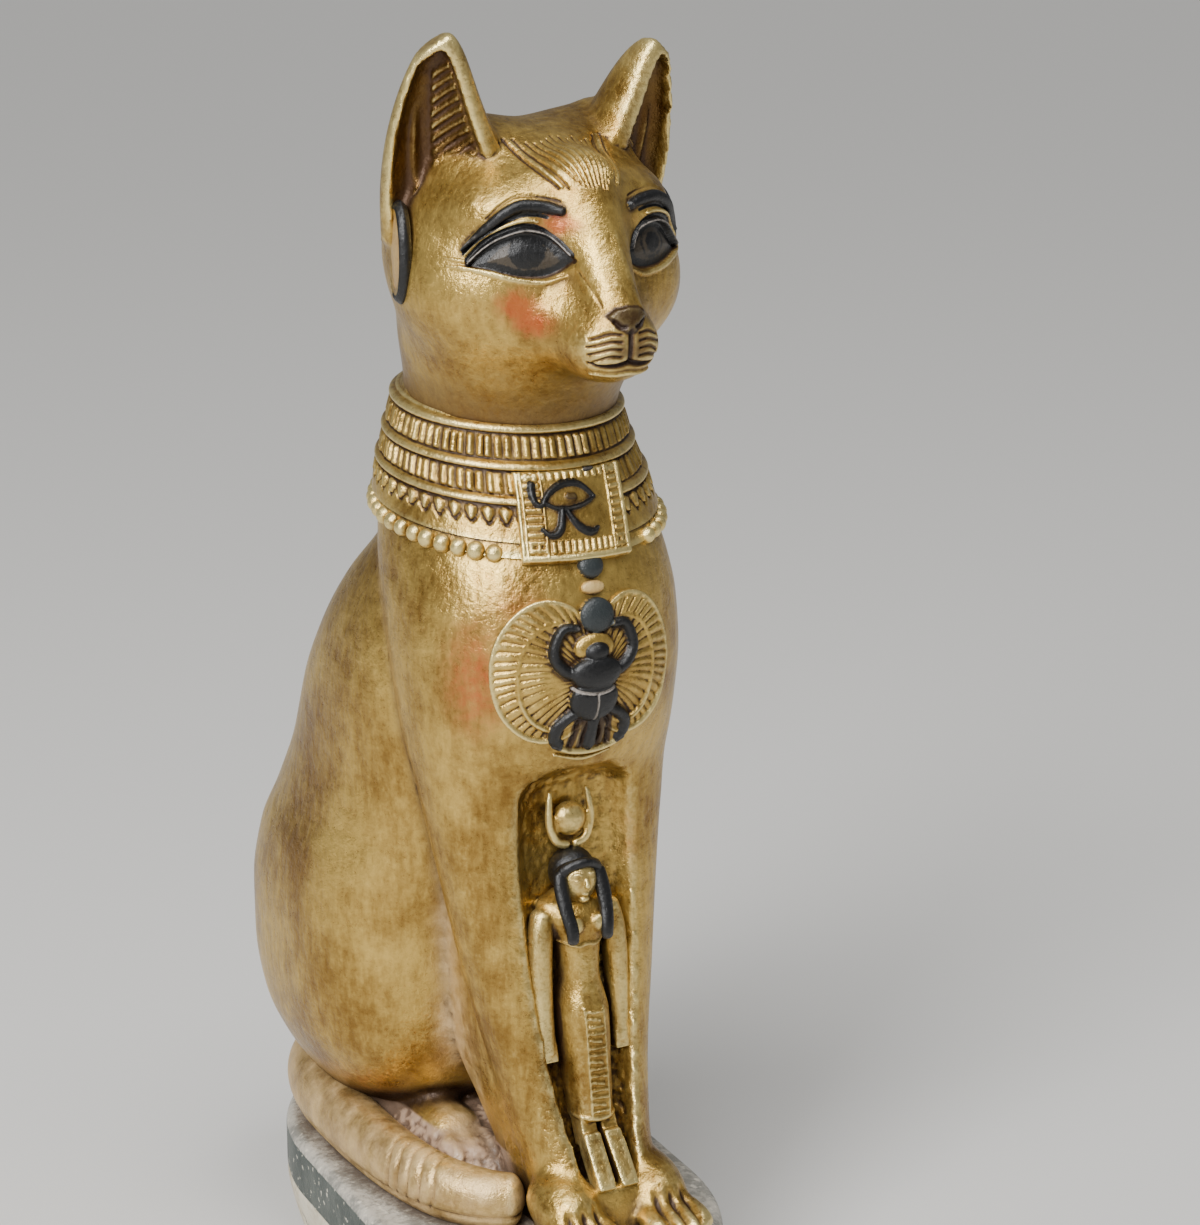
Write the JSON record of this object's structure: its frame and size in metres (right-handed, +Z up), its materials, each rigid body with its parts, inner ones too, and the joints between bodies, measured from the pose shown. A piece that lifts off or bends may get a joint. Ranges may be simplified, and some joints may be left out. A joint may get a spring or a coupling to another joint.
{
  "type": "bastet cat figure",
  "caption": "Seated Egyptian temple cat cast together with its plinth, with a broad collar, winged scarab and a small goddess between the forelegs.",
  "frame": {"origin": "centre of the bounding box, on the flat underside of the plinth", "axes": "+Z up, -Y the way the cat looks along the plinth's length, +X to the cat's left"},
  "size_m": [0.0776, 0.1388, 0.2697],
  "materials": {
    "gold_casting": "brushed gold paint with brown wash on cast stone resin, satin"
  },
  "bodies": {
    "root": {"cat_figure": "gold_casting"}
  },
  "joints": []
}
